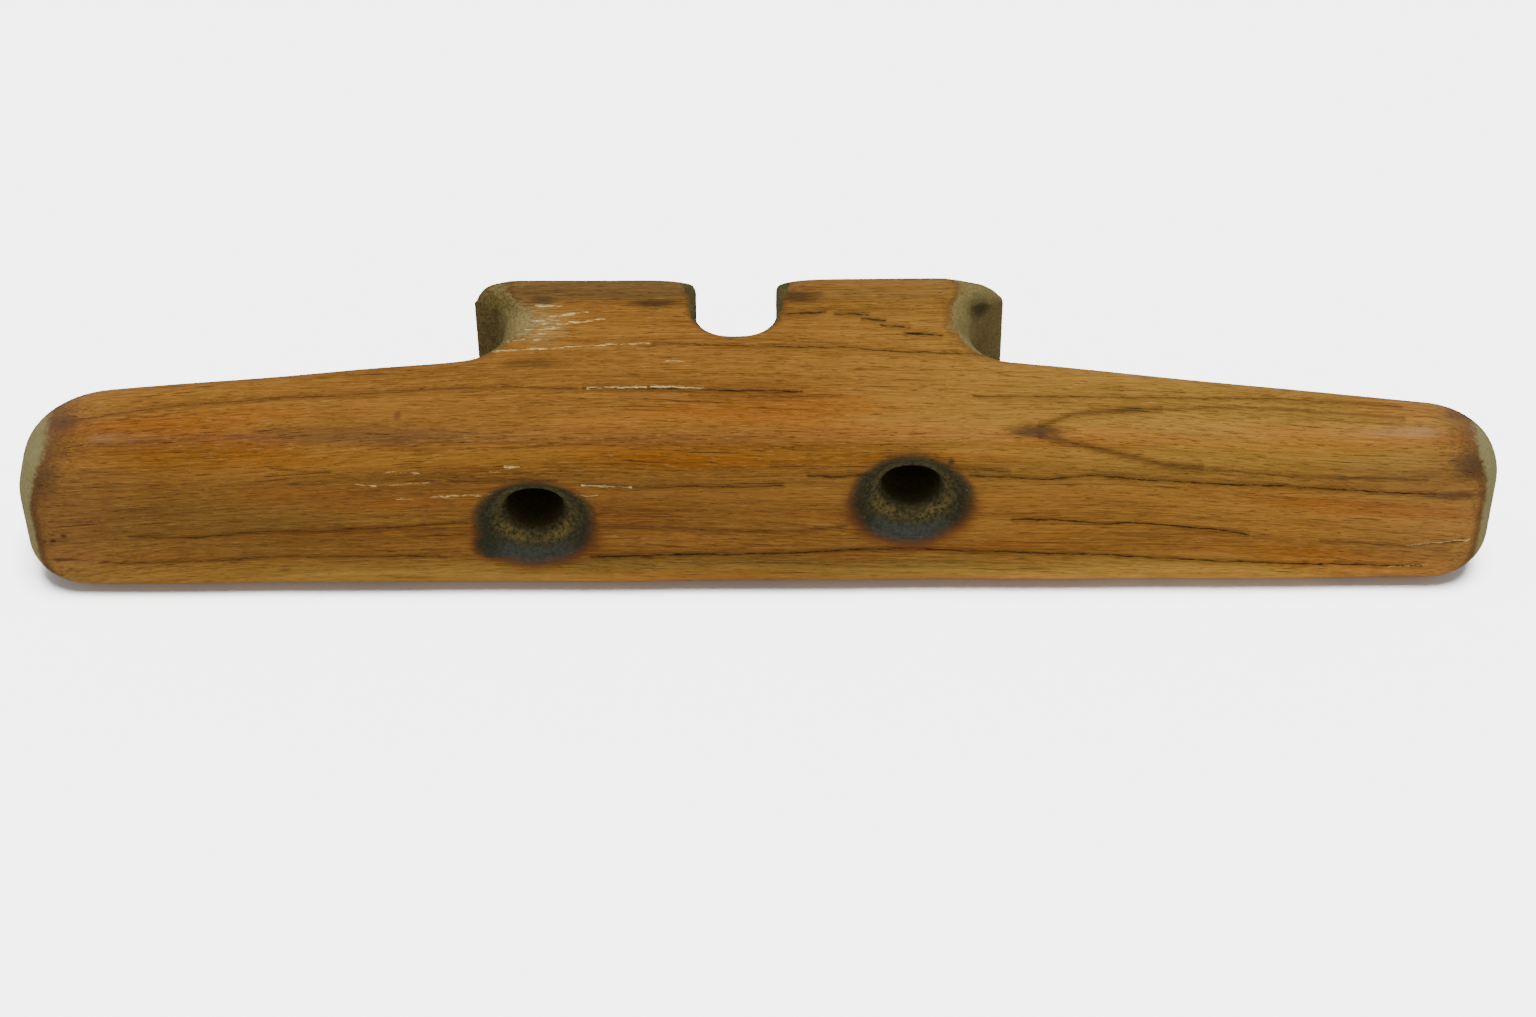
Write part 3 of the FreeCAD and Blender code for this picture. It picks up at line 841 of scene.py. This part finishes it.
def heel_turn(n, g, blots):
    """Where wear of the heels and of the gap's mouth shows end grain on the upper side, from 0 to 1."""
    spot = n.share(g.level, HEEL_LEVEL, clamp=True)
    turns = []
    for side, line, soft, drift in ((-1, LEFT_HEEL, 2.0, 4.0), (1, RIGHT_HEEL, 4.5, 16.0)):
        spots = [(share_of(level, HEEL_LEVEL), share_of(x, GRAIN_X)) for level, x in line]
        start = n.spread(n.curve(spot, spots), GRAIN_X)
        past = n.math("MULTIPLY", n.math("SUBTRACT", g.x, start), side)
        past = n.math("MULTIPLY_ADD", n.math("SUBTRACT", blots, 0.5), drift, past)
        turns.append(n.step(g.jagged(past, 3.0), -soft, soft, 0.0, 0.455))
    heel = n.times(
        n.most(turns),
        n.step(g.y, -25.0, -21.0),
        n.step(g.z, 5.0, 9.0),
        n.step(g.back, 0.9, 0.6),
    )
    reach = n.math("MULTIPLY_ADD", g.y, MOUTH_TAPER, g.off_middle())
    mouth = n.times(n.step(g.jagged(reach, 1.6), *MOUTH_SPAN), n.step(g.y, -12.5, -10.0))
    return n.math("MAXIMUM", heel, mouth)


def old_paint(n, g, group, wood):
    """Traces of white paint in the grain, and a pale film round the streaks on the left foot."""
    grains = n.noise(g.stretched(0.50, 3.0, 3.0), detail=3.0, rough=0.7)
    broken = n.step(grains, 0.44, 0.52)
    smear = g.jagged(g.swayed, 1.9)
    paint = n.times(n.step(paint_lines(n, group, g, smear), 1.0, CORE), g.outer, broken)
    film = n.times(patches(n, g, FILM), n.step(grains, 0.44, 0.62, 0.15, 0.8))
    wood = n.mix(film, wood, FILM_CREAM)
    return n.mix(paint, wood, PAINT_WHITE), paint


def iron_stain(n, g, wood):
    """Black iron stain in and round the countersinks, with painted sheen on their lower slopes and
    painted shade down the bores. Gives the colour, the stain and its grit.
    """
    side = n.math("SIGN", g.x)
    across = n.math("MULTIPLY_ADD", side, -HOLES[1][0], g.x)
    up = n.math("MULTIPLY_ADD", side, -HOLES[1][1], g.z)
    radius = n.length(across, up)
    below = n.math("DIVIDE", n.math("MULTIPLY", up, -1.0), radius)
    aside = n.math("DIVIDE", n.math("ABSOLUTE", across), radius)
    lobes = n.noise(g.even(0.10), detail=1.5)
    grit = n.noise(g.even(1.1), detail=4.0, rough=0.8)
    lobe = patches(n, g, STAIN_LOBE)
    # The stain has run down a little, and its outline is uneven.
    sunk = n.length(across, n.math("ADD", up, 1.1))
    uneven = n.math("MULTIPLY_ADD", lobes, 2.4, n.math("ADD", sunk, -1.2))
    uneven = n.math("SUBTRACT", uneven, lobe)
    back_side = n.step(g.y, BACK + 10.0, BACK + 7.0)

    halo = n.times(n.step(uneven, STAIN + 4.2, STAIN), back_side, n.step(below, -0.5, 0.7, 0.12, 0.75))
    wood = n.mix(halo, wood, HALO_RED)
    dark = n.mix(n.step(grit, 0.28, 0.80), STAIN_DARK, STAIN_PALE)
    dark = n.mix(n.step(radius, 8.5, 11.5, 0.0, 0.65), dark, STAIN_EDGE)
    # Painted sheen: a bluish-grey reflection on the lower slope of each stained countersink.
    slate_sheen = n.times(
        n.step(below, 0.55, 0.97),
        n.step(radius, 8.4, 10.8),
        n.step(grit, 0.34, 0.62, 0.5, 1.0),
    )
    dark = n.mix(n.math("MULTIPLY", slate_sheen, 0.7), dark, STAIN_SLATE_SHEEN)
    raw = n.times(n.step(radius, 6.3, 7.2), n.step(radius, 9.6, 8.2), n.step(grit, 0.36, 0.64))
    raw = n.times(raw, n.step(below, 0.15, 0.55, 0.3, 1.0), n.step(aside, 0.1, 0.45, 0.25, 1.0))
    dark = n.mix(n.math("MULTIPLY", raw, 0.55), dark, STAIN_RAW)
    specks = n.times(n.step(grit, 0.66, 0.72), n.step(uneven, 8.8, 9.6))
    dark = n.mix(n.math("MULTIPLY", specks, 0.8), dark, STAIN_SPECK)
    stain = n.times(n.step(uneven, STAIN + 2.2, STAIN - 1.7), back_side)
    wood = n.mix(stain, wood, dark)
    # Painted shade down the bores, over their iron-stained walls.
    inside = n.times(n.step(radius, BORE + 0.5, BORE + 0.1), n.step(g.y, BACK + 3.0, BACK + 5.0))
    return n.mix(inside, wood, BORE_STAIN_AND_SHADE), stain, n.math("MULTIPLY", grit, stain)


def gloss(n, g, shader, streaks, marks):
    """Dull wood with a sheen on the horns' handled ends, and matt where a mark covers it."""
    off = g.off_middle()
    matt = n.most(marks)
    polish = n.times(n.step(off, *POLISH_SPAN), n.math("SUBTRACT", 1.0, matt))
    rough = n.math("MULTIPLY_ADD", streaks, 0.25, 0.40)
    n.join(shader.inputs["Roughness"], n.math("MULTIPLY_ADD", matt, 0.30, rough, clamp=True))
    shader.inputs["Specular IOR Level"].default_value = 0.12
    n.join(shader.inputs["Coat Weight"], n.math("MULTIPLY", polish, 0.5))
    shader.inputs["Coat Roughness"].default_value = 0.34


def relief(n, shader, first, *others):
    """Fine bumps: noises and masks, each with its weight."""
    height = n.math("MULTIPLY", *first)
    for bumps, weight in others:
        height = n.math("MULTIPLY_ADD", bumps, weight, height)
    bump = n.add("Bump")
    bump.inputs["Strength"].default_value = 1.0
    bump.inputs["Distance"].default_value = BUMP_HEIGHT * MM
    n.join(bump.inputs["Height"], height)
    n.join(shader.inputs["Normal"], bump.outputs[0])


def teak():
    """Worn, lightly oiled teak: rings, pores, cracks, grey end grain and black iron stains, with some
    painted light and shade.
    """
    material = bpy.data.materials.new("teak_worn")
    material.use_nodes = True
    material.node_tree.nodes.clear()
    n = Nodes(material.node_tree)
    g = Grain(n)
    group = stroke_group()
    wood, streaks, fibres = rings(n, g)
    wood = regions(n, g, wood)
    wood, pore = pores(n, g, wood)
    wood = sole_band(n, g, wood)
    wood, seam = dark_marks(n, g, group, wood, fibres)
    wood, fuzz, ends = end_grain(n, g, wood)
    wood, paint = old_paint(n, g, group, wood)
    wood, stain, grit = iron_stain(n, g, wood)

    shader = n.add("BsdfPrincipled")
    n.join(shader.inputs["Base Color"], wood)
    gloss(n, g, shader, streaks, [ends, paint, seam, stain])
    sunk = ((pore, -0.7), (seam, -1.6))
    relief(n, shader, (fibres, 0.35), (streaks, 0.25), *sunk, (fuzz, 2.2), (grit, 1.5))
    output = n.add("OutputMaterial")
    n.join(output.inputs[0], shader.outputs[0])
    return material


# Studio


def plain(name, colour):
    """A dull material of one colour."""
    material = bpy.data.materials.new(name)
    material.use_nodes = True
    shader = material.node_tree.nodes["Principled BSDF"]
    shader.inputs["Base Color"].default_value = (*colour, 1.0)
    shader.inputs["Roughness"].default_value = TABLE_ROUGH
    shader.inputs["Specular IOR Level"].default_value = 0.0
    return material


def flat_sheet(name, height, material):
    """A level square round the origin."""
    mesh = bpy.data.meshes.new(name)
    turns = ((-1, -1), (1, -1), (1, 1), (-1, 1))
    corners = [(i * TABLE_REACH, j * TABLE_REACH, height) for i, j in turns]
    mesh.from_pydata(corners, [], [(0, 1, 2, 3)])
    sheet = new_object(name, mesh)
    mesh.materials.append(material)
    return sheet


def table_top(height):
    """The white table. It is lit so brightly where it is seen that another sheet lights the wood."""
    seen = flat_sheet("table_top", height, plain("table_white", TABLE_WHITE))
    seen.visible_glossy = False
    seen.visible_diffuse = False
    seen.visible_shadow = False
    felt = flat_sheet("table_bounce", height - 0.1 * MM, plain("table_bounce", BOUNCE_WHITE))
    felt.visible_camera = False
    felt.visible_glossy = False
    felt.visible_shadow = False
    return seen


def aim(obj, place, target):
    """Put a light or the camera at a place, facing a target."""
    obj.location = place
    obj.rotation_euler = (Vector(target) - Vector(place)).to_track_quat("-Z", "Y").to_euler()


def key_light():
    """A large soft light overhead."""
    light = bpy.data.lights.new("key", "AREA")
    light.shape = "RECTANGLE"
    light.size, light.size_y = KEY_SIZE
    light.energy = KEY_POWER
    aim(new_object("key", light), KEY_PLACE, KEY_TARGET)


def table_light(table):
    """A sun that only whitens the table."""
    sun = bpy.data.lights.new("table_light", "SUN")
    sun.energy = SUN_POWER
    sun.angle = math.radians(SUN_SPREAD)
    obj = new_object("table_light", sun)
    aim(obj, SUN_PLACE, (0, 0, 0))
    lit = bpy.data.collections.new("lit_by_table_light")
    lit.objects.link(table)
    obj.light_linking.receiver_collection = lit


def surroundings():
    """A pale world, darker below the horizon."""
    world = bpy.data.worlds.new("studio")
    bpy.context.scene.world = world
    world.use_nodes = True
    n = Nodes(world.node_tree)
    direction = n.add("TexCoord").outputs["Generated"]
    parts = n.add("SeparateXYZ")
    n.join(parts.inputs[0], direction)
    height = parts.outputs[2]
    glow = n.step(height, 0.9, 0.1, SKY_TOP, SKY_SIDE)
    glow = n.times(glow, n.step(height, -0.25, 0.0, SKY_BELOW, 1.0))
    background = world.node_tree.nodes["Background"]
    n.join(background.inputs["Strength"], glow)
    background.inputs["Color"].default_value = (1.0, 1.0, 1.0, 1.0)


def camera():
    """The camera at the photograph's viewing angle."""
    data = bpy.data.cameras.new("camera")
    data.sensor_width = 36.0
    data.lens = CAMERA_LENS
    data.shift_x, data.shift_y = CAMERA_SHIFT
    obj = new_object("camera", data)
    rise, turn = math.radians(CAMERA_RISE), math.radians(CAMERA_TURN)
    target = Vector(LOOK_AT) * MM
    away = Vector((-math.sin(turn) * math.cos(rise), -math.cos(turn) * math.cos(rise), math.sin(rise)))
    aim(obj, target + CAMERA_REACH * away, target)
    obj.rotation_euler.rotate_axis("Z", math.radians(-CAMERA_ROLL))
    bpy.context.scene.camera = obj


cleat = dense_copy("cleat_body", "cleat_worn")
wear(cleat)
cleat.data.materials.clear()
cleat.data.materials.append(teak())
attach(cleat, "root")
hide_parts("cleat_body")
surroundings()
key_light()
table_light(table_top(cad_low.z))
camera()
